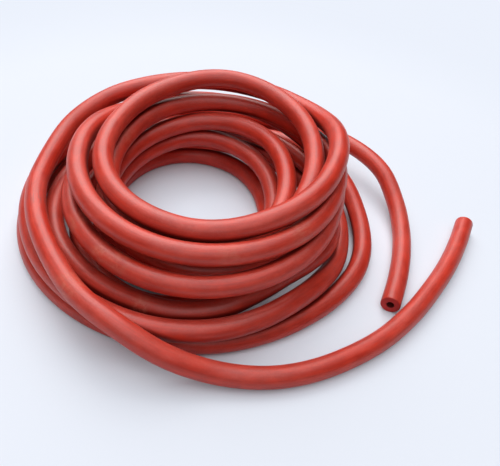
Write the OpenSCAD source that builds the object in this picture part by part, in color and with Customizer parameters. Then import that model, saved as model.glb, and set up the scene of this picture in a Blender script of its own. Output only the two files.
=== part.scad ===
// Rubber vacuum tubing: one length of thick-walled red tube that lies in a
// loose coil of twelve turns. One cut end points forward inside the last
// turn, and the other runs out past the coil at the right.
// The coil lies on the floor z = 0, with the middle of its box at x = y = 0.

/* [Tube] */
// Outside diameter of the tube
tube_od = 16; // [12:0.5:20]
// Bore through the tube
bore_d = 6; // [3:0.5:9]
// Straight stretch behind each cut end
straight_end = 24; // [15:1:26]

/* [Coil] */
// Width of the coil, between the middles of its right and left sides
coil_w = 220; // [180:2:300]
// Depth of the coil, between the middles of its far and near sides
coil_d = 206; // [170:2:290]
// Tightest bend that the narrow inner turns take at their far and near ends
bend_r = 64; // [50:1:72]

/* [Section] */
// Sides of the tube's outer skin, twice as many as its bore has between the straight ends
outer_sides = 12; // [8, 10, 12]

/* [Hidden] */

$fn = 64;
tube_r = tube_od / 2;
bore_sides = outer_sides / 2;
// The bore's outline has the area of the round bore that it continues
bore_corner_r = bore_d / 2 * sqrt(2 * PI / bore_sides / sin(360 / bore_sides));

// ---- Route of the tube's centreline, chosen for a 16 mm tube ----

// How far each turn reaches to the right, away, to the left and forward
reach = [
    [134, 170, -185, -114],
    [78, 168, -189, -110],
    [98, 150, -166, -95],
    [66, 117, -144, -81],
    [14, 115, -127, -59],
    [17, 100, -122, -60],
    [24, 102, -121, -71],
    [62, 120, -146, -96],
    [62, 144, -143, -83],
    [60, 115, -119, -64],
    [42, 114, -123, -67],
    [58, 136, -176, -72]
];
// Height of each turn at every eighth of it, anticlockwise from the right
height = [
    [8, 28, 26, 26, 25, 25, 25, 25],
    [8, 8, 8, 8, 8, 8, 8, 8],
    [8, 27, 19, 18, 19, 22, 23, 34],
    [29, 25, 25, 24, 16, 11, 9, 8],
    [8, 8, 8, 8, 8, 8, 10, 26],
    [28, 37, 40, 32, 25, 25, 29, 45],
    [54, 61, 58, 50, 43, 43, 43, 48],
    [46, 42, 42, 42, 46, 52, 52, 60],
    [64, 53, 54, 58, 72, 71, 70, 76],
    [81, 71, 71, 69, 61, 60, 59, 65],
    [81, 91, 95, 87, 78, 77, 77, 90],
    [98, 85, 79, 67, 46, 42, 42, 42]
];
// How far the corner between near and right is drawn in on each turn
ease = [3, 5, 10, 0, 0, 0, 6, -4, -3, 0, -3, 0];

// From the cut end inside the last turn, round the right side to the coil
lead_in = [
    [118, -43, 8], [126, -14, 8], [132, 18, 8], [134, 49, 9],
    [129, 80, 16], [115, 110, 27], [90, 139, 29], [55, 160, 28]
];
// From the coil's left side, round the front to the cut end at the right
lead_out = [
    [-176, 12, 42], [-169, -20, 43], [-155, -51, 44], [-133, -82, 42],
    [-108, -108, 41], [-77, -126, 38], [-44, -134, 25], [-11, -133, 13],
    [22, -129, 9], [52, -119, 8], [81, -102, 8], [110, -78, 8],
    [135, -48, 8], [155, -17, 8], [172, 14, 8], [186, 46, 8],
    [196, 74, 8]
];

first_angle = 75;
step_angle = 15;
last_angle = 360 * (len(reach) - 1) + 165;
coil_steps = (last_angle - first_angle) / step_angle;
heights = [for (turn = height) each turn];

// Middle of the coil, and the size of tube, width and depth it is drawn for
coil_mid = [-38, 22];
drawn_od = 16;
drawn_w = 220;
drawn_d = 206;
nest = tube_od / drawn_od;
band_r = (drawn_w + drawn_d) / 4;
grow = [coil_w - drawn_w, coil_d - drawn_d] / 2;

// Middle of the finished coil's box, put on the axes
box_mid = [3.27, 17.88];

// Slope at a point between the steps before and after it, with no overshoot
function slope(a, b) = a * b <= 0 ? 0 : 2 * a * b / (a + b);

// Value at place s in a list, on a curve that never overshoots its points
function along(list, s) =
    let(
        last = len(list) - 1,
        k = max(0, min(last - 1, floor(s))),
        t = max(0, min(1, s - k)),
        p0 = list[max(0, k - 1)],
        p1 = list[k],
        p2 = list[k + 1],
        p3 = list[min(last, k + 2)],
        m1 = slope(p1 - p0, p2 - p1),
        m2 = slope(p2 - p1, p3 - p2)
    )
    p1 * (1 + 2 * t) * pow(1 - t, 2) + m1 * t * pow(1 - t, 2)
    + p2 * t * t * (3 - 2 * t) - m2 * t * t * (1 - t);

// Reach in one of the four directions, eased from turn to turn
function side(direction, s) = along([for (turn = reach) turn[direction]], s);

// Centre of the tube at an angle counted through all the turns
function coil_point(angle) =
    let(
        s = angle / 360,
        right = side(0, s),
        far = side(1, s - 0.25),
        left = side(2, s - 0.5),
        near = side(3, s - 0.75),
        half_w = (right - left) / 2,
        half_d = (far - near) / 2,
        fuller = max(0, (sqrt(bend_r * half_d) - half_w) / 4),
        last_quarter = angle % 360 > 270 ? 1 : 0,
        drawn_in = last_quarter * ease[floor(s)] * pow(sin(2 * angle), 2)
    )
    [
        (right + left) / 2 + (half_w + fuller - drawn_in) * cos(angle) - fuller * cos(3 * angle),
        (far + near) / 2 + (half_d - drawn_in) * sin(angle),
        along(heights, angle / 45)
    ];

// A point of the drawn route, moved out or in for the tube and coil set above
function lie(p) =
    let(
        from_mid = [p.x, p.y] - coil_mid,
        angle = atan2(from_mid.y, from_mid.x),
        out = band_r + (norm(from_mid) - band_r) * nest,
        flat = coil_mid + [(out + grow.x) * cos(angle), (out + grow.y) * sin(angle)] - box_mid
    )
    [flat.x, flat.y, max(tube_r, p.z * nest)];

coil = [for (k = [0:coil_steps]) coil_point(first_angle + step_angle * k)];
drawn = concat(lead_in, coil, lead_out);
last = len(drawn) - 1;

// Point a share t of the way from route point k to the next
function between(k, t) =
    let(
        p1 = drawn[k],
        p2 = drawn[k + 1],
        p0 = k > 0 ? drawn[k - 1] : 2 * p1 - p2,
        p3 = k + 2 <= last ? drawn[k + 2] : 2 * p2 - p1
    )
    p1 + t / 2 * (p2 - p0 + t * (2 * p0 - 5 * p1 + 4 * p2 - p3 + t * (3 * (p1 - p2) + p3 - p0)));

// Each straight end runs from its cut face back along the axis, and the swept
// skin tapers into the back of it
seat = 3;
seat_r = tube_r - 1;
root = straight_end - seat;
neck = straight_end + seat;
end_a = lie(drawn[0]);
end_b = lie(drawn[last]);
run_a = lie(drawn[1]) - end_a;
run_b = lie(drawn[last - 1]) - end_b;
into_a = run_a / norm(run_a);
into_b = run_b / norm(run_b);

// Length along the lead from its cut end to point p of step k, or clear of both
function from_end(k, p) =
    k < 3 ? norm(p - end_a) : k > last - 4 ? norm(p - end_b) : 2 * neck;

// The leads bend unevenly, so each of their steps is halved
function shares(k) = k < len(lead_in) || k >= last - len(lead_out) ? [0, 0.5] : [0];

bends = [
    for (k = [1:last - 1])
        for (t = k < last - 1 ? shares(k) : [0])
            let(p = lie(between(k, t)))
            if (from_end(k, p) > neck + 1)
                p
];
route = concat(
    [end_a + into_a * root, end_a + into_a * neck],
    bends,
    [end_b + into_b * neck, end_b + into_b * root]
);
rings = len(route);

// ---- Skin swept along the route ----

function direction(k) =
    let(ahead = route[min(rings - 1, k + 1)] - route[max(0, k - 1)])
    ahead / norm(ahead);

function ring(k, r, sides) =
    let(
        ahead = direction(k),
        level = cross(ahead, [0, 0, 1]),
        right = level / norm(level),
        up = cross(right, ahead)
    )
    [for (j = [0:sides - 1])
        let(angle = 360 * j / sides)
        route[k] + r * (cos(angle) * right + sin(angle) * up)];

function outer_r(k) = k == 0 || k == rings - 1 ? seat_r : tube_r;

// Two triangles for each side of a skin, from one ring to the next
function skin(start, sides, inward) =
    [for (k = [0:rings - 2], j = [0:sides - 1])
        let(
            a = start + k * sides + j,
            b = start + k * sides + (j + 1) % sides,
            c = b + sides,
            d = a + sides
        )
        each (inward ? [[a, c, b], [a, d, c]] : [[a, b, c], [a, c, d]])];

// Flat ring between the outline of the bore and the outer outline
function cap(outer_start, bore_start, at_start) =
    let(ratio = outer_sides / bore_sides)
    [for (j = [0:bore_sides - 1])
        let(
            a = bore_start + j,
            b = bore_start + (j + 1) % bore_sides,
            fan = [for (i = [0:ratio]) outer_start + (j * ratio + i) % outer_sides],
            faces = concat(
                [for (i = [0:ratio - 1]) [a, fan[i], fan[i + 1]]],
                [[a, fan[ratio], b]]
            )
        )
        each (at_start ? [for (f = faces) [f[0], f[2], f[1]]] : faces)];

module swept_tube() {
    outer = [for (k = [0:rings - 1]) each ring(k, outer_r(k), outer_sides)];
    bore = [for (k = [0:rings - 1]) each ring(k, bore_corner_r, bore_sides)];
    far_outer = (rings - 1) * outer_sides;
    far_bore = len(outer) + (rings - 1) * bore_sides;
    polyhedron(
        points = concat(outer, bore),
        faces = concat(
            skin(0, outer_sides, false),
            skin(len(outer), bore_sides, true),
            cap(0, len(outer), true),
            cap(far_outer, far_bore, false)
        )
    );
}

// Puts what follows at a cut end, with +Z running into the tube
module at_end(place, into) {
    translate(place)
        rotate([0, 0, atan2(into.y, into.x)])
            rotate([0, acos(into.z), 0])
                children();
}

module straight() {
    cylinder(h = straight_end, r = tube_r);
}

module end_bore() {
    translate([0, 0, -1])
        cylinder(h = straight_end + 2, d = bore_d);
}

module tubing() {
    color("firebrick")
        difference() {
            union() {
                swept_tube();
                at_end(end_a, into_a) straight();
                at_end(end_b, into_b) straight();
            }
            at_end(end_a, into_a) end_bore();
            at_end(end_b, into_b) end_bore();
        }
}

tubing();
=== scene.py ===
"""Rubber vacuum tubing: the finished look of one long red tube that lies in a loose coil.

The tube's centreline follows the same route as the construction model, in metres.
Its skin is one closed surface: along the outside from one cut end to the other,
over the cut face, back through the bore, and over the other face.
"""

import math

import bpy
import numpy as np
from bpy.props import FloatProperty, FloatVectorProperty, IntProperty, PointerProperty
from mathutils import Matrix, Vector


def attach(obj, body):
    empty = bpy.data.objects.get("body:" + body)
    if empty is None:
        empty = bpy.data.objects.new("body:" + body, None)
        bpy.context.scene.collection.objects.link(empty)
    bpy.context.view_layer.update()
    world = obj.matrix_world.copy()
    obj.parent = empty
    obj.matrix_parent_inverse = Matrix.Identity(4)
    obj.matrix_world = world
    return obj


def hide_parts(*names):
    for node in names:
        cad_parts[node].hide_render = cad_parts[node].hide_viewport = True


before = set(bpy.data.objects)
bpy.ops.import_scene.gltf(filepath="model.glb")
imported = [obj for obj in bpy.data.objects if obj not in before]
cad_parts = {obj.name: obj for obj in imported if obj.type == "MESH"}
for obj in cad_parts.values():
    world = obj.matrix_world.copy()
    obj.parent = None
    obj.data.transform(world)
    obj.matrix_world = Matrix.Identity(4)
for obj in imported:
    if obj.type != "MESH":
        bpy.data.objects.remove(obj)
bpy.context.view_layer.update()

bl_info = {
    "name": "Rubber Vacuum Tubing",
    "version": (1, 0, 0),
    "blender": (4, 5, 0),
    "location": "View3D > Sidebar > Tubing",
    "description": "Builds a coil of thick-walled rubber tubing and its studio stage",
    "category": "Add Mesh",
}

MM = 0.001

# ---------------------------------------------------------------- route

# How far each turn reaches to the right, away, to the left and forward
REACH = MM * np.array([
    [134, 170, -185, -114],
    [78, 168, -189, -110],
    [98, 150, -166, -95],
    [66, 117, -144, -81],
    [14, 115, -127, -59],
    [17, 100, -122, -60],
    [24, 102, -121, -71],
    [62, 120, -146, -96],
    [62, 144, -143, -83],
    [60, 115, -119, -64],
    [42, 114, -123, -67],
    [58, 136, -176, -72],
])
# Height of each turn at every eighth of it, anticlockwise from the right
HEIGHT = MM * np.array([
    [8, 28, 26, 26, 25, 25, 25, 25],
    [8, 8, 8, 8, 8, 8, 8, 8],
    [8, 27, 19, 18, 19, 22, 23, 34],
    [29, 25, 25, 24, 16, 11, 9, 8],
    [8, 8, 8, 8, 8, 8, 10, 26],
    [28, 37, 40, 32, 25, 25, 29, 45],
    [54, 61, 58, 50, 43, 43, 43, 48],
    [46, 42, 42, 42, 46, 52, 52, 60],
    [64, 53, 54, 58, 72, 71, 70, 76],
    [81, 71, 71, 69, 61, 60, 59, 65],
    [81, 91, 95, 87, 78, 77, 77, 90],
    [98, 85, 79, 67, 46, 42, 42, 42],
])
# How far the corner between near and right is drawn in on each turn
EASE = MM * np.array([3, 5, 10, 0, 0, 0, 6, -4, -3, 0, -3, 0])
# From the cut end inside the last turn, round the right side to the coil
LEAD_IN = MM * np.array([
    [118, -43, 8], [126, -14, 8], [132, 18, 8], [134, 49, 9],
    [129, 80, 16], [115, 110, 27], [90, 139, 29], [55, 160, 28],
])
# From the coil's left side, round the front to the cut end at the right
LEAD_OUT = MM * np.array([
    [-176, 12, 42], [-169, -20, 43], [-155, -51, 44], [-133, -82, 42],
    [-108, -108, 41], [-77, -126, 38], [-44, -134, 25], [-11, -133, 13],
    [22, -129, 9], [52, -119, 8], [81, -102, 8], [110, -78, 8],
    [135, -48, 8], [155, -17, 8], [172, 14, 8], [186, 46, 8],
    [196, 74, 8],
])
FIRST_ANGLE = 75
STEP_ANGLE = 15
LAST_ANGLE = 360 * (len(REACH) - 1) + 165
# Angle from one height in the table to the next
HEIGHT_ANGLE = 45
# Tightest bend that the narrow inner turns take at their far and near ends
BEND_R = 64 * MM
# Middle of the whole coil's box, put on the axes
BOX_MID = MM * np.array([3.27, 17.88, 0.0])
# Short runs that each step of the route is drawn in, before it is cut evenly
RUNS_PER_STEP = 24


def slope(a, b):
    """Slope between two steps: their harmonic mean, or none where they turn back."""
    total = np.where(np.abs(a + b) < 1e-12, 1.0, a + b)
    return np.where(a * b <= 0, 0.0, 2 * a * b / total)


def along(values, s):
    """Value at each place s in a list, on a cubic that never overshoots its points."""
    last = len(values) - 1
    k = np.clip(np.floor(s), 0, last - 1).astype(int)
    t = np.clip(s - k, 0, 1)
    p0 = values[np.maximum(0, k - 1)]
    p1 = values[k]
    p2 = values[k + 1]
    p3 = values[np.minimum(last, k + 2)]
    m1 = slope(p1 - p0, p2 - p1)
    m2 = slope(p2 - p1, p3 - p2)
    return (
        p1 * (1 + 2 * t) * (1 - t) ** 2
        + m1 * t * (1 - t) ** 2
        + p2 * t**2 * (3 - 2 * t)
        - m2 * t**2 * (1 - t)
    )


def coil_points():
    """The coil at every STEP_ANGLE: an oval whose four reaches change from turn to turn.

    A narrow turn is made fuller by a third harmonic, so that its ends keep BEND_R.
    """
    angle = np.arange(FIRST_ANGLE, LAST_ANGLE + 1, STEP_ANGLE, dtype=float)
    turn = angle / 360
    right, far, left, near = (
        along(REACH[:, side], turn - side / 4) for side in range(4)
    )
    half_w = (right - left) / 2
    half_d = (far - near) / 2
    fuller = np.maximum(0, (np.sqrt(BEND_R * half_d) - half_w) / 4)
    a = np.radians(angle)
    last_quarter = angle % 360 > 270
    drawn_in = last_quarter * EASE[np.floor(turn).astype(int)] * np.sin(2 * a) ** 2
    x = (right + left) / 2 + (half_w + fuller - drawn_in) * np.cos(a)
    x -= fuller * np.cos(3 * a)
    y = (far + near) / 2 + (half_d - drawn_in) * np.sin(a)
    z = along(HEIGHT.ravel(), angle / HEIGHT_ANGLE)
    return np.stack([x, y, z], axis=-1)


def smooth_route(points, spacing, radius):
    """Centreline through the points: a Catmull-Rom curve, cut into even lengths.

    No point is lower than the radius, because the tube lies on the floor there.
    """
    before = np.vstack([2 * points[0] - points[1], points[:-2]])
    after = np.vstack([points[2:], 2 * points[-1] - points[-2]])
    p0, p1, p2, p3 = (p[:, None, :] for p in (before, points[:-1], points[1:], after))
    t = (np.arange(RUNS_PER_STEP) / RUNS_PER_STEP)[None, :, None]
    curve = p1 + t / 2 * (
        p2 - p0 + t * (2 * p0 - 5 * p1 + 4 * p2 - p3 + t * (3 * (p1 - p2) + p3 - p0))
    )
    curve = np.vstack([curve.reshape(-1, 3), points[-1]])
    curve[:, 2] = np.maximum(curve[:, 2], radius)
    steps = np.linalg.norm(np.diff(curve, axis=0), axis=1)
    place = np.concatenate([[0], np.cumsum(steps)])
    count = int(round(place[-1] / spacing)) + 1
    even = np.linspace(0, place[-1], count)
    line = np.stack([np.interp(even, place, curve[:, k]) for k in range(3)], axis=-1)
    return line, even


def directions(line):
    """Unit vectors ahead, to the right and up at each point of a line."""
    ahead = np.gradient(line, axis=0)
    ahead /= np.linalg.norm(ahead, axis=1, keepdims=True)
    right = np.cross(ahead, [0.0, 0.0, 1.0])
    right /= np.linalg.norm(right, axis=1, keepdims=True)
    return ahead, right, np.cross(right, ahead)


def centreline(sizes):
    """The tube's whole centreline in the row frame, and the length up to each point."""
    points = np.vstack([LEAD_IN, coil_points(), LEAD_OUT]) - BOX_MID
    return smooth_route(points, sizes.ring_spacing, sizes.outside / 2)


# ---------------------------------------------------------------- meshes

# Rings over each rounded edge of a cut end, and over the flat of its face
EDGE_RINGS = 5
FACE_RINGS = 5
# Openness, in diameters of the tube: where it leaves 0, how much farther it reaches 1,
# and how much of its own run either way is left out
CLOSED_TO = 0.275
OPENS_OVER = 0.9
OWN_RUN = 4
# Stands for no other run near, as a squared distance
FAR_AWAY = 1.0


def closed_skin(rings):
    """Faces of a surface whose rings join in a loop, each to the next and last to first."""
    count, sides = rings.shape[:2]
    a = np.arange(count * sides).reshape(count, sides)
    b = np.roll(a, -1, axis=1)
    c = np.roll(b, -1, axis=0)
    d = np.roll(a, -1, axis=0)
    return np.stack([a, d, c, b], axis=-1).reshape(-1, 4)


def mesh_piece(name, vertices, quads, smooth=True):
    """A mesh object at the origin, from arrays of corners and of four-cornered faces."""
    mesh = bpy.data.meshes.new(name)
    mesh.vertices.add(len(vertices))
    mesh.vertices.foreach_set("co", vertices.ravel())
    mesh.loops.add(quads.size)
    mesh.loops.foreach_set("vertex_index", quads.ravel())
    mesh.polygons.add(len(quads))
    mesh.polygons.foreach_set("loop_start", np.arange(0, quads.size, 4))
    mesh.polygons.foreach_set("use_smooth", np.full(len(quads), smooth))
    mesh.update(calc_edges=True)
    mesh.validate()
    piece = bpy.data.objects.new(name, mesh)
    bpy.context.scene.collection.objects.link(piece)
    return piece


def cut_end(radius, bore_radius, edge, bore_edge):
    """Profile over a cut end: depth behind the face and radius, from outside to bore."""
    turn = np.radians(np.linspace(0, 90, EDGE_RINGS))
    outer = np.stack([edge * (1 - np.sin(turn)), radius - edge * (1 - np.cos(turn))], -1)
    face = np.linspace(radius - edge, bore_radius + bore_edge, FACE_RINGS + 2)[1:-1]
    flat = np.stack([np.zeros_like(face), face], -1)
    back = turn[::-1]
    inner = np.stack(
        [bore_edge * (1 - np.sin(back)), bore_radius + bore_edge * (1 - np.cos(back))], -1
    )
    return np.vstack([outer, flat, inner])


def tube_rings(line, sizes):
    """Rings of the whole skin: centres, directions, radii, and what is cut or hollow.

    They run along the outside, over the far cut end, back through the bore and over the
    near one. A ring of a cut end lies at its depth behind the face, on the centreline
    carried straight there.
    """
    radius = sizes.outside / 2
    bore = sizes.bore / 2
    ahead, right, up = directions(line)
    profile = cut_end(radius, bore, sizes.cut_edge, sizes.bore_edge)
    depth, reach = profile[:, 0], profile[:, 1]
    # The bore's rings start and stop clear of the rings of the cut ends
    inside = np.arange(len(line) - 3, 2, -sizes.bore_step)

    def at_end(k, sign):
        """Ring centres and directions over the cut end at point k."""
        centre = line[k] + sign * depth[:, None] * ahead[k]
        return centre, np.tile(right[k], (len(depth), 1)), np.tile(up[k], (len(depth), 1))

    near = at_end(0, 1)
    far = at_end(-1, -1)
    body = slice(1, len(line) - 1)
    parts = [
        (line[body], right[body], up[body], np.full(len(line) - 2, radius), 0.0),
        (*far, reach, 1.0),
        (line[inside], right[inside], up[inside], np.full(len(inside), bore), 0.0),
        (*(part[::-1] for part in near), reach[::-1], 1.0),
    ]
    centres, rights, ups, radii = (np.concatenate([p[k] for p in parts]) for k in range(4))
    # The start of each rounded edge still has the look of the skin it turns into
    cut = np.concatenate([np.full(len(p[0]), p[4]) for p in parts])
    cut *= (radii < radius - 0.4 * sizes.cut_edge) & (radii > bore + 0.2 * sizes.bore_edge)
    hollow = radii < bore + 0.5 * sizes.bore_edge
    return centres, rights, ups, radii, cut, hollow


def tube_mesh(line, place, sizes):
    """The tube's skin: circles about the centreline, along it and over both cut ends."""
    centres, rights, ups, radii, cut, hollow = tube_rings(line, sizes)
    turn = np.arange(sizes.sides) * 2 * np.pi / sizes.sides
    spoke = (
        np.cos(turn)[None, :, None] * rights[:, None, :]
        + np.sin(turn)[None, :, None] * ups[:, None, :]
    )
    rings = centres[:, None, :] + radii[:, None, None] * spoke
    piece = mesh_piece("tubing_skin", rings.reshape(-1, 3), closed_skin(rings))
    # Length along the tube at each ring: up to the far end, and back to none in the bore
    run = np.interp(
        np.arange(len(centres)), [0, len(line) - 3, len(centres) - 1], [0, place[-1], 0]
    )
    open_skin = openness(line, place, (centres, rights, ups), run, turn, sizes)
    add_uv(piece, run, len(centres), sizes)
    add_values(piece, "cut", np.repeat(cut, sizes.sides))
    add_values(piece, "hollow", np.repeat(hollow.astype(float), sizes.sides))
    add_values(piece, "facing_up", spoke[:, :, 2].ravel())
    add_values(piece, "openness", open_skin.ravel())
    add_places(piece, "unrolled", run, turn, sizes)
    return piece


def openness(line, place, rings, run, turn, sizes):
    """How open each place on the skin is, from 0 in a crevice to 1 where nothing is near;
    the material paints shade into the crevices by it.

    For a point one radius out from the skin, the distance d to the centre of the nearest
    other run of tube, in diameters, gives (d - CLOSED_TO) / OPENS_OVER, kept between
    0 and 1. The loop goes once round the tube, over whole rings.
    """
    centres, rights, ups = rings
    out = sizes.outside
    apart = (centres[:, None, :] - line[None, :, :]).astype(np.float32)
    square = np.einsum("ijk,ijk->ij", apart, apart)
    own_run = np.abs(run[:, None] - place[None, :]) < OWN_RUN * sizes.outside
    values = np.empty((len(centres), len(turn)))
    for side, angle in enumerate(turn):
        spoke = (np.cos(angle) * rights + np.sin(angle) * ups).astype(np.float32)
        away = square + 2 * out * np.einsum("ijk,ik->ij", apart, spoke) + out**2
        away[own_run] = FAR_AWAY
        values[:, side] = np.sqrt(away.min(axis=1))
    return np.clip(
        (values - CLOSED_TO * sizes.outside) / (OPENS_OVER * sizes.outside), 0, 1
    )


def add_places(piece, name, run, turn, sizes):
    """The skin unrolled: length along the tube, and the two sides of a circle round it."""
    radius = sizes.outside / 2
    places = np.empty((len(run), len(turn), 3), dtype=np.float32)
    places[:, :, 0] = run[:, None]
    places[:, :, 1] = radius * np.cos(turn)
    places[:, :, 2] = radius * np.sin(turn)
    layer = piece.data.attributes.new(name, "FLOAT_VECTOR", "POINT")
    layer.data.foreach_set("vector", places.ravel())


def add_uv(piece, run, rings, sizes):
    """UV map in metres, for a laid-on pattern: U along the tube, V round its outside."""
    mesh = piece.data
    around = np.pi * sizes.outside * np.arange(sizes.sides + 1) / sizes.sides
    run_next = np.roll(run, -1)
    u = np.stack([run, run_next, run_next, run], -1)[:, None, :]
    u = u + np.zeros((1, sizes.sides, 1))
    v = np.stack([around[:-1], around[:-1], around[1:], around[1:]], -1)[None]
    v = v + np.zeros((rings, 1, 1))
    layer = mesh.uv_layers.new(name="UVMap")
    layer.data.foreach_set("uv", np.stack([u, v], -1).ravel())


def add_values(piece, name, values):
    """One number for each vertex, for the material to read."""
    layer = piece.data.attributes.new(name, "FLOAT", "POINT")
    layer.data.foreach_set("value", values.astype(np.float32))


# ---------------------------------------------------------------- node helpers


def node(tree, kind, inputs=None, **settings):
    """A node of a kind, with settings, and inputs given as values or as sockets."""
    made = tree.nodes.new(kind)
    for name, value in settings.items():
        setattr(made, name, value)
    for name, value in (inputs or {}).items():
        socket = made.inputs[name]
        if isinstance(value, bpy.types.NodeSocket):
            tree.links.new(value, socket)
        else:
            socket.default_value = value
    return made


def group_tree(name, inputs, outputs):
    """An empty shader group with named inputs and outputs, and its two end nodes."""
    tree = bpy.data.node_groups.new(name, "ShaderNodeTree")
    for label, kind, value in inputs:
        socket = tree.interface.new_socket(label, in_out="INPUT", socket_type=kind)
        if value is not None:
            socket.default_value = value
    for label, kind in outputs:
        tree.interface.new_socket(label, in_out="OUTPUT", socket_type=kind)
    return tree, tree.nodes.new("NodeGroupInput"), tree.nodes.new("NodeGroupOutput")


def math_node(tree, operation, a, b=0.0, clamp=False):
    """Output of a Math node for two values or sockets."""
    return node(
        tree, "ShaderNodeMath", {0: a, 1: b}, operation=operation, use_clamp=clamp
    ).outputs[0]


def mix_colour(tree, share, a, b):
    """Output of a colour Mix node: from a to b by a share."""
    return node(
        tree, "ShaderNodeMix", {0: share, 6: a, 7: b}, data_type="RGBA"
    ).outputs[2]


def span(tree, value, low, high, to_low=0.0, to_high=1.0):
    """A value taken on a smooth step from one span to another, and held past its ends."""
    ends = {"From Min": low, "From Max": high, "To Min": to_low, "To Max": to_high}
    return node(
        tree,
        "ShaderNodeMapRange",
        {"Value": value, **ends},
        interpolation_type="SMOOTHSTEP",
    ).outputs["Result"]


def noise(tree, vector, scale, detail, roughness=0.5):
    """Output of a noise texture on a vector."""
    return node(
        tree,
        "ShaderNodeTexNoise",
        {"Vector": vector, "Scale": scale, "Detail": detail, "Roughness": roughness},
    ).outputs["Fac"]


def attribute(tree, name):
    """A number stored on the mesh."""
    return node(
        tree, "ShaderNodeAttribute", attribute_type="GEOMETRY", attribute_name=name
    ).outputs["Fac"]


def drawn_out(tree, along_tube, across):
    """Places on the unrolled skin, with so many cells a metre along it and across it."""
    skin = node(
        tree, "ShaderNodeAttribute", attribute_type="GEOMETRY", attribute_name="unrolled"
    ).outputs["Vector"]
    return node(
        tree, "ShaderNodeMapping", {"Vector": skin, "Scale": (along_tube, across, across)}
    ).outputs["Vector"]


def use_group(tree, group, inputs):
    """A placed copy of a shader group with its own values."""
    return node(tree, "ShaderNodeGroup", inputs, node_tree=group)


# ---------------------------------------------------------------- shared effects

# Cells a metre of each pattern: one number where it is even, or along and across the tube
PITS = 1400.0
LINES = (14.0, 700.0)
SMEARS = (70.0, 170.0)
CLOUDS = (16.0, 70.0)
SPECKS = 520.0
FLECKS = 190.0
STREAKS = (30.0, 260.0)


def drawn_grain_group():
    """Grain of drawn rubber: fine pits, faint lines along the tube, and a cloudy tone."""
    tree, given, result = group_tree(
        "drawn_grain",
        [("Fine", "NodeSocketFloat", 1.0), ("Lines", "NodeSocketFloat", 1.0)],
        [("Height", "NodeSocketFloat"), ("Tone", "NodeSocketFloat")],
    )
    place = node(tree, "ShaderNodeTexCoord").outputs["Object"]
    pits = noise(tree, place, PITS, 3.0)
    lines = noise(tree, drawn_out(tree, *LINES), 1.0, 3.0)
    smears = noise(tree, drawn_out(tree, *SMEARS), 1.0, 4.0, 0.6)
    fine = math_node(tree, "MULTIPLY", pits, given.outputs["Fine"])
    long = math_node(tree, "MULTIPLY", lines, given.outputs["Lines"])
    tree.links.new(math_node(tree, "ADD", fine, long), result.inputs["Height"])
    soft = math_node(tree, "MULTIPLY", smears, 0.65)
    hard = math_node(tree, "MULTIPLY", lines, 0.35)
    tree.links.new(math_node(tree, "ADD", soft, hard), result.inputs["Tone"])
    return tree


def bloom_and_sheen_group():
    """Pale bloom with painted light: a thin cloudy film, painted thickest on what faces up
    as a sheen where the light falls, and left out of crevices as painted shade.
    """
    tree, given, result = group_tree(
        "pale_bloom",
        [
            ("Amount", "NodeSocketFloat", 0.5),
            ("Facing Up", "NodeSocketFloat", 0.0),
            ("Openness", "NodeSocketFloat", 1.0),
        ],
        [("Mask", "NodeSocketFloat")],
    )
    place = node(tree, "ShaderNodeTexCoord").outputs["Object"]
    clouds = noise(tree, drawn_out(tree, *CLOUDS), 1.0, 6.0, 0.62)
    clouds = span(tree, clouds, 0.3, 0.75)
    specks = span(tree, noise(tree, place, SPECKS, 3.0, 0.7), 0.4, 0.75, 0.55, 1.0)
    # Painted sheen: the film is made thicker on what faces up, where the light falls, and
    # left out where openness is low, as painted shade
    lit = span(tree, given.outputs["Facing Up"], -0.3, 1.0, 0.25, 1.0)
    lit_and_open = math_node(tree, "MULTIPLY", lit, given.outputs["Openness"])
    film = math_node(tree, "MULTIPLY", math_node(tree, "MULTIPLY", clouds, specks), lit_and_open)
    amount = math_node(tree, "MULTIPLY", film, given.outputs["Amount"], clamp=True)
    tree.links.new(amount, result.inputs["Mask"])
    return tree


def scuff_group():
    """One rubbed patch: a soft ball about a place, broken up by flecks or by streaks."""
    tree, given, result = group_tree(
        "rubbed_patch",
        [
            ("Place", "NodeSocketVector", None),
            ("Radius", "NodeSocketFloat", 0.02),
            ("Streaks", "NodeSocketFloat", 0.0),
        ],
        [("Mask", "NodeSocketFloat")],
    )
    place = node(tree, "ShaderNodeTexCoord").outputs["Object"]
    away = node(
        tree,
        "ShaderNodeVectorMath",
        {0: place, 1: given.outputs["Place"]},
        operation="DISTANCE",
    ).outputs["Value"]
    near = math_node(tree, "DIVIDE", away, given.outputs["Radius"])
    ball = span(tree, near, 0.2, 1.0, 1.0, 0.0)
    flecks = span(tree, noise(tree, place, FLECKS, 5.0, 0.7), 0.40, 0.62)
    streaks = noise(tree, drawn_out(tree, *STREAKS), 1.0, 3.0, 0.6)
    streaks = span(tree, streaks, 0.48, 0.62)
    less = math_node(tree, "SUBTRACT", 1.0, given.outputs["Streaks"])
    broken = math_node(
        tree,
        "ADD",
        math_node(tree, "MULTIPLY", flecks, less),
        math_node(tree, "MULTIPLY", streaks, given.outputs["Streaks"]),
    )
    tree.links.new(math_node(tree, "MULTIPLY", ball, broken), result.inputs["Mask"])
    return tree


# ---------------------------------------------------------------- materials

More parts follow.
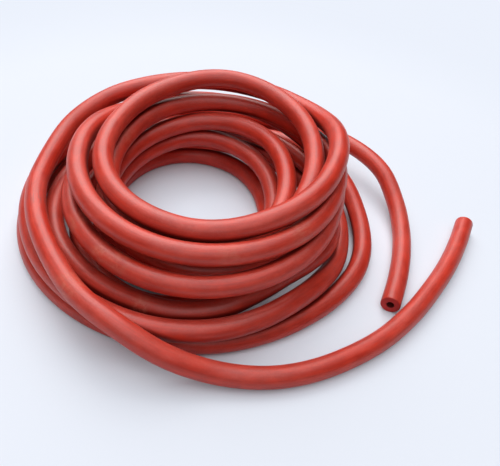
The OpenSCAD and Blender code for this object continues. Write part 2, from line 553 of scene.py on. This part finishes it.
# Where handling has left a rubbed patch: place, radius, and how streaky it is
SCUFFS = (
    ((-0.101, -0.099, 0.057), 0.012, 0.0),
    ((-0.088, -0.107, 0.057), 0.012, 0.3),
    ((-0.126, -0.073, 0.056), 0.012, 0.6),
    ((-0.117, 0.026, 0.067), 0.012, 0.3),
    ((-0.071, -0.115, 0.028), 0.010, 0.0),
    ((-0.116, -0.124, 0.047), 0.016, 0.3),
    ((-0.013, -0.102, 0.076), 0.014, 0.6),
    ((0.032, -0.074, 0.081), 0.014, 0.6),
    ((0.150, 0.040, 0.050), 0.014, 0.6),
    ((0.020, 0.130, 0.080), 0.014, 0.3),
    ((-0.120, 0.110, 0.060), 0.016, 0.6),
)
# Where something dark has marked the skin: place and radius
SMUDGES = (
    ((-0.165, -0.045, 0.051), 0.013),
    ((0.090, 0.120, 0.070), 0.014),
)
# Openness at which the painted shade in crevices has given way to the full colour, and the
# bloom with its painted sheen is full
OPEN_AIR = 0.42
# How far the roughness swings with the tone, how much rougher chalky skin is, and the
# least roughness of a cut face
ROUGHNESS_SWING = 0.05
CHALK_ROUGHNESS = 0.25
CUT_ROUGHNESS = 0.8
# Depth that the grain's bump stands for
GRAIN_DEPTH = 0.06 * MM


def new_material(name):
    """An empty node material with its output."""
    material = bpy.data.materials.new(name)
    material.use_nodes = True
    tree = material.node_tree
    tree.nodes.clear()
    return material, tree, tree.nodes.new("ShaderNodeOutputMaterial")


def worst_patch(tree, group, patches):
    """Strongest of several rubbed patches, each a place, a radius and its streakiness."""
    strongest = 0.0
    for centre, radius, streaks in patches:
        patch = use_group(
            tree, group, {"Place": centre, "Radius": radius, "Streaks": streaks}
        )
        strongest = math_node(tree, "MAXIMUM", strongest, patch.outputs["Mask"])
    return strongest


def red_rubber(finish):
    """Matte red rubber with drawn grain, a pale bloom partly painted as a sheen on what
    faces up, scuffs, smudges, and cut faces, with shade painted into the crevices and the
    bore.
    """
    material, tree, output = new_material("red_rubber")
    grain = use_group(tree, drawn_grain_group(), {"Fine": 1.0, "Lines": 0.8})
    tone = grain.outputs["Tone"]
    up = attribute(tree, "facing_up")
    cut = attribute(tree, "cut")
    hollow = attribute(tree, "hollow")
    open_air = span(tree, attribute(tree, "openness"), 0.0, OPEN_AIR)
    chalk_and_sheen = use_group(
        tree, bloom_and_sheen_group(), {"Amount": finish.bloom_and_sheen, "Facing Up": up, "Openness": open_air}
    ).outputs["Mask"]
    patch = scuff_group()
    rubbed = math_node(tree, "MULTIPLY", worst_patch(tree, patch, SCUFFS), finish.scuffs)
    smudges = [(centre, radius, 1.0) for centre, radius in SMUDGES]
    marked = math_node(tree, "MULTIPLY", worst_patch(tree, patch, smudges), finish.smudges)

    skin = mix_colour(
        tree,
        span(tree, tone, 0.33, 0.67),
        (*finish.dark_red, 1.0),
        (*finish.light_red, 1.0),
    )
    # Painted shade: a dark red where other runs of tube lie near, in the crevices between
    # them
    skin = mix_colour(tree, open_air, (*finish.painted_crevice_shade, 1.0), skin)
    # Pale bloom, partly a real film and partly a painted sheen on what faces up
    skin = mix_colour(tree, chalk_and_sheen, skin, (*finish.chalk_and_sheen, 1.0))
    skin = mix_colour(tree, rubbed, skin, (*finish.scuffed, 1.0))
    skin = mix_colour(tree, marked, skin, (*finish.smudge, 1.0))
    skin = mix_colour(tree, cut, skin, (*finish.cut_red, 1.0))
    # Painted shade: the bore is drawn in a dark red
    skin = mix_colour(tree, hollow, skin, (*finish.painted_bore_shade, 1.0))

    smoothest = finish.roughness - ROUGHNESS_SWING
    roughest = finish.roughness + ROUGHNESS_SWING
    rough = span(tree, tone, 0.2, 0.8, smoothest, roughest)
    chalky = math_node(tree, "MAXIMUM", chalk_and_sheen, rubbed)
    chalky = math_node(tree, "MULTIPLY", chalky, CHALK_ROUGHNESS)
    rough = math_node(tree, "ADD", rough, chalky, clamp=True)
    on_cut = math_node(tree, "MULTIPLY", cut, CUT_ROUGHNESS)
    rough = math_node(tree, "MAXIMUM", rough, on_cut)
    bump = node(
        tree,
        "ShaderNodeBump",
        {"Strength": 0.6, "Distance": GRAIN_DEPTH, "Height": grain.outputs["Height"]},
    ).outputs["Normal"]
    surface = node(
        tree,
        "ShaderNodeBsdfPrincipled",
        {
            "Base Color": skin,
            "Roughness": rough,
            "Normal": bump,
            "IOR": 1.52,
            "Sheen Weight": 0.02,
            "Sheen Roughness": 0.45,
            "Sheen Tint": (1.0, 0.85, 0.82, 1.0),
        },
    )
    tree.links.new(surface.outputs["BSDF"], output.inputs["Surface"])
    return material


# How far out the floor starts to fade into the backdrop, and is all backdrop, in metres
FADE = (0.1, 0.55)
# How near a thing has to be to shade the floor, in metres, and how sharply it does
SHADED_WITHIN = 0.06
SHADE_POWER = 1.4


def studio_floor(stage):
    """Pale floor that keeps the object's shadow, and fades into the backdrop far away.

    To the camera it is part lit and part plain pale: less pale where something stands
    over it or beside it, and all pale from FADE[1] metres out.
    """
    material, tree, output = new_material("studio_floor")
    surface = node(
        tree,
        "ShaderNodeBsdfPrincipled",
        {"Base Color": (*stage.floor, 1.0), "Roughness": 0.9, "Specular IOR Level": 0.1},
    )
    pale = node(tree, "ShaderNodeEmission", {"Color": (*stage.pale, 1.0), "Strength": 1.0})
    clear = node(
        tree, "ShaderNodeAmbientOcclusion", {"Distance": SHADED_WITHIN}, samples=16
    ).outputs["AO"]
    clear = math_node(tree, "POWER", clear, SHADE_POWER)
    near = math_node(tree, "MULTIPLY", clear, stage.pale_share)
    place = node(tree, "ShaderNodeTexCoord").outputs["Object"]
    away = node(tree, "ShaderNodeVectorMath", {0: place}, operation="LENGTH")
    far = span(tree, away.outputs["Value"], *FADE)
    seen = node(tree, "ShaderNodeLightPath").outputs["Is Camera Ray"]
    share = math_node(tree, "MULTIPLY", seen, math_node(tree, "MAXIMUM", near, far))
    lit_or_pale = {0: share, 1: surface.outputs[0], 2: pale.outputs[0]}
    mix = node(tree, "ShaderNodeMixShader", lit_or_pale)
    tree.links.new(mix.outputs[0], output.inputs["Surface"])
    return material


# ---------------------------------------------------------------- settings


class TubingSizes(bpy.types.PropertyGroup):
    """Sizes of the tube and of the mesh that draws it."""

    outside: FloatProperty(
        name="Outside diameter", description="Outside diameter of the tube",
        default=16 * MM, min=8 * MM, max=16 * MM, unit="LENGTH", precision=4,
    )
    bore: FloatProperty(
        name="Bore", description="Diameter of the bore",
        default=6 * MM, min=2 * MM, max=10 * MM, unit="LENGTH", precision=4,
    )
    cut_edge: FloatProperty(
        name="Cut edge", description="Rounding of the outer edge of a cut end",
        default=0.8 * MM, min=0.1 * MM, max=1.5 * MM, unit="LENGTH", precision=5,
    )
    bore_edge: FloatProperty(
        name="Bore edge", description="Rounding of the bore's edge at a cut end",
        default=0.35 * MM, min=0.1 * MM, max=1.0 * MM, unit="LENGTH", precision=5,
    )
    ring_spacing: FloatProperty(
        name="Ring spacing",
        description="Length of tube from one ring of the mesh to the next",
        default=5.5 * MM, min=4 * MM, max=12 * MM, unit="LENGTH", precision=5,
    )
    sides: IntProperty(
        name="Sides", description="Faces round the tube", default=44, min=12, max=56,
    )
    bore_step: IntProperty(
        name="Bore step", description="Rings of the outside for each ring of the bore",
        default=4, min=1, max=8,
    )


class RubberFinish(bpy.types.PropertyGroup):
    """Colours and surface of the rubber."""

    light_red: FloatVectorProperty(
        name="Light red", description="Rubber where the tone is lightest",
        subtype="COLOR", size=3, default=(0.61, 0.032, 0.011), min=0, max=1,
    )
    dark_red: FloatVectorProperty(
        name="Dark red", description="Rubber where the tone is darkest",
        subtype="COLOR", size=3, default=(0.44, 0.019, 0.007), min=0, max=1,
    )
    # Painted shade: the dark red drawn into the crevices between runs of tube, where shade
    # falls
    painted_crevice_shade: FloatVectorProperty(
        name="Hidden red", description="Rubber in the crevices, where no bloom forms",
        subtype="COLOR", size=3, default=(0.19, 0.008, 0.004), min=0, max=1,
    )
    cut_red: FloatVectorProperty(
        name="Cut face", description="Rubber on a cut face",
        subtype="COLOR", size=3, default=(0.50, 0.026, 0.022), min=0, max=1,
    )
    # Painted shade: the dark red drawn inside the bore, where shade falls
    painted_bore_shade: FloatVectorProperty(
        name="Bore", description="Rubber inside the bore",
        subtype="COLOR", size=3, default=(0.12, 0.012, 0.010), min=0, max=1,
    )
    scuffed: FloatVectorProperty(
        name="Scuffed", description="Rubber where it has been rubbed",
        subtype="COLOR", size=3, default=(0.62, 0.16, 0.10), min=0, max=1,
    )
    smudge: FloatVectorProperty(
        name="Smudge", description="Dark marks on the skin",
        subtype="COLOR", size=3, default=(0.16, 0.07, 0.065), min=0, max=1,
    )
    # Pale bloom colour, partly a real film and partly a painted sheen on what faces up
    chalk_and_sheen: FloatVectorProperty(
        name="Chalk", description="Pale bloom on the skin",
        subtype="COLOR", size=3, default=(0.76, 0.34, 0.29), min=0, max=1,
    )
    roughness: FloatProperty(
        name="Roughness", description="Roughness of the clean skin",
        default=0.4, min=0, max=1, subtype="FACTOR",
    )
    # Strength of the pale bloom together with its painted sheen
    bloom_and_sheen: FloatProperty(
        name="Bloom", description="How much pale bloom lies on the skin",
        default=0.2, min=0, max=1, subtype="FACTOR",
    )
    scuffs: FloatProperty(
        name="Scuffs", description="How strong the rubbed patches are",
        default=0.6, min=0, max=1, subtype="FACTOR",
    )
    smudges: FloatProperty(
        name="Smudges", description="How strong the dark marks are",
        default=0.7, min=0, max=1, subtype="FACTOR",
    )


class StudioStage(bpy.types.PropertyGroup):
    """Camera, lamps and floor."""

    eye: FloatVectorProperty(
        name="Eye", description="Place of the camera", subtype="TRANSLATION", unit="LENGTH",
        size=3, default=(-0.00327, -0.37788, 0.350),
    )
    down: FloatProperty(
        name="Down", description="How far the camera looks down", subtype="ANGLE",
        default=math.radians(42.4),
    )
    roll: FloatProperty(
        name="Roll", description="How far the camera is rolled", subtype="ANGLE",
        default=math.radians(9.0),
    )
    view_angle: FloatProperty(
        name="View angle", description="Angle across the camera's view", subtype="ANGLE",
        default=math.radians(45.93),
    )
    floor: FloatVectorProperty(
        name="Floor", description="Colour of the floor", subtype="COLOR", size=3,
        default=(0.70, 0.73, 0.79), min=0, max=1,
    )
    pale: FloatVectorProperty(
        name="Pale", description="Backdrop, and what the open floor is lifted towards",
        subtype="COLOR", size=3, default=(0.84, 0.885, 0.98), min=0, max=1,
    )
    pale_share: FloatProperty(
        name="Pale share", description="How far the open floor is lifted towards it",
        default=0.62, min=0, max=1, subtype="FACTOR",
    )
    sky: FloatVectorProperty(
        name="Fill", description="Colour of the soft light all round", subtype="COLOR",
        size=3, default=(0.90, 0.93, 1.0), min=0, max=1,
    )
    sky_strength: FloatProperty(
        name="Fill strength", description="Strength of the soft light all round",
        default=0.05, min=0, max=3,
    )
    key_power: FloatProperty(
        name="Key power", description="Power of the soft box above and behind",
        default=70.0, min=0, unit="POWER",
    )
    top_power: FloatProperty(
        name="Top power", description="Power of the wide soft box overhead",
        default=40.0, min=0, unit="POWER",
    )
    front_power: FloatProperty(
        name="Front power", description="Power of the weak soft box in front",
        default=12.0, min=0, unit="POWER",
    )
    side_power: FloatProperty(
        name="Side power", description="Power of the weak soft box at the left",
        default=5.0, min=0, unit="POWER",
    )


# ---------------------------------------------------------------- operators

FLOOR_WIDTH = 12.0
# Colours of the lamps
WARM = (1.0, 0.985, 0.97)
COOL = (0.96, 0.975, 1.0)
# Soft boxes: name, place, width, the setting that holds the power, and colour
LAMPS = (
    ("key_box", (-0.6, 1.63, 1.93), 2.2, "key_power", WARM),
    ("top_box", (0.0, 0.0, 2.6), 2.4, "top_power", COOL),
    ("front_box", (0.0, -1.74, 1.93), 1.6, "front_power", COOL),
    ("side_box", (-1.74, 0.0, 1.93), 1.2, "side_power", COOL),
)


class TUBING_OT_tube(bpy.types.Operator):
    """Build the rubber tube along its route and give it its finish"""

    bl_idname = "tubing.tube"
    bl_label = "Tube"
    bl_options = {"REGISTER", "UNDO"}

    def execute(self, context):
        sizes = context.scene.tubing_sizes
        line, place = centreline(sizes)
        piece = tube_mesh(line, place, sizes)
        piece.data.materials.append(red_rubber(context.scene.tubing_finish))
        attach(piece, "root")
        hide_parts("tubing")
        return {"FINISHED"}


class TUBING_OT_stage(bpy.types.Operator):
    """Set up the pale floor, the soft lamps and the camera"""

    bl_idname = "tubing.stage"
    bl_label = "Stage"
    bl_options = {"REGISTER", "UNDO"}

    def execute(self, context):
        stage = context.scene.tubing_stage
        add_floor(stage)
        add_fill(context.scene, stage)
        add_lamps(stage)
        add_camera(context.scene, stage)
        context.scene.view_settings.view_transform = "Standard"
        return {"FINISHED"}


def add_floor(stage):
    """A wide flat floor at height nought."""
    half = FLOOR_WIDTH / 2
    corners = np.array(
        [[-half, -half, 0], [half, -half, 0], [half, half, 0], [-half, half, 0]]
    )
    floor = mesh_piece("studio_floor", corners, np.array([[0, 1, 2, 3]]), smooth=False)
    floor.data.materials.append(studio_floor(stage))


def add_fill(scene, stage):
    """Soft light from all round, and the pale backdrop to the camera."""
    world = bpy.data.worlds.new("studio_fill")
    world.use_nodes = True
    tree = world.node_tree
    tree.nodes.clear()
    output = tree.nodes.new("ShaderNodeOutputWorld")
    fill = node(
        tree,
        "ShaderNodeBackground",
        {"Color": (*stage.sky, 1.0), "Strength": stage.sky_strength},
    )
    pale = node(
        tree, "ShaderNodeBackground", {"Color": (*stage.pale, 1.0), "Strength": 1.0}
    )
    seen = node(tree, "ShaderNodeLightPath").outputs["Is Camera Ray"]
    mix = node(
        tree, "ShaderNodeMixShader", {0: seen, 1: fill.outputs[0], 2: pale.outputs[0]}
    )
    tree.links.new(mix.outputs[0], output.inputs["Surface"])
    scene.world = world


def add_lamp(name, place, width, power, colour):
    """A square soft lamp at a place, turned towards the middle of the floor."""
    data = bpy.data.lights.new(name, "AREA")
    data.shape = "SQUARE"
    data.size = width
    data.energy = power
    data.color = colour
    lamp = bpy.data.objects.new(name, data)
    lamp.location = place
    lamp.rotation_euler = (-Vector(place)).to_track_quat("-Z", "Y").to_euler()
    bpy.context.scene.collection.objects.link(lamp)


def add_lamps(stage):
    """A soft box above and behind, a wide one overhead, and weak ones in front and left."""
    for name, place, width, power, colour in LAMPS:
        add_lamp(name, place, width, getattr(stage, power), colour)


def add_camera(scene, stage):
    """The camera at its eye, looking ahead and down, rolled about its own line of sight."""
    data = bpy.data.cameras.new("studio_camera")
    data.sensor_fit = "HORIZONTAL"
    data.angle = stage.view_angle
    data.clip_start = 0.01
    camera = bpy.data.objects.new("studio_camera", data)
    sin_d, cos_d = math.sin(stage.down), math.cos(stage.down)
    sin_r, cos_r = math.sin(stage.roll), math.cos(stage.roll)
    axes = Matrix((
        (cos_r, -sin_r, 0.0),
        (sin_r * sin_d, cos_r * sin_d, -cos_d),
        (sin_r * cos_d, cos_r * cos_d, sin_d),
    ))
    camera.matrix_world = Matrix.Translation(stage.eye) @ axes.to_4x4()
    scene.collection.objects.link(camera)
    scene.camera = camera


class TUBING_PT_panel(bpy.types.Panel):
    """Sidebar panel with the sizes, the finish and the stage"""

    bl_label = "Rubber Vacuum Tubing"
    bl_idname = "TUBING_PT_panel"
    bl_space_type = "VIEW_3D"
    bl_region_type = "UI"
    bl_category = "Tubing"

    def draw(self, context):
        layout = self.layout
        scene = context.scene
        for settings in (scene.tubing_sizes, scene.tubing_finish, scene.tubing_stage):
            box = layout.box()
            for name in settings.__annotations__:
                box.prop(settings, name)
        layout.operator(TUBING_OT_tube.bl_idname)
        layout.operator(TUBING_OT_stage.bl_idname)


CLASSES = (
    TubingSizes,
    RubberFinish,
    StudioStage,
    TUBING_OT_tube,
    TUBING_OT_stage,
    TUBING_PT_panel,
)


def register():
    for cls in CLASSES:
        bpy.utils.register_class(cls)
    bpy.types.Scene.tubing_sizes = PointerProperty(type=TubingSizes)
    bpy.types.Scene.tubing_finish = PointerProperty(type=RubberFinish)
    bpy.types.Scene.tubing_stage = PointerProperty(type=StudioStage)


def unregister():
    del bpy.types.Scene.tubing_stage
    del bpy.types.Scene.tubing_finish
    del bpy.types.Scene.tubing_sizes
    for cls in reversed(CLASSES):
        bpy.utils.unregister_class(cls)


def main():
    """Build everything."""
    register()
    bpy.ops.tubing.stage()
    bpy.ops.tubing.tube()


if __name__ == "__main__":
    main()
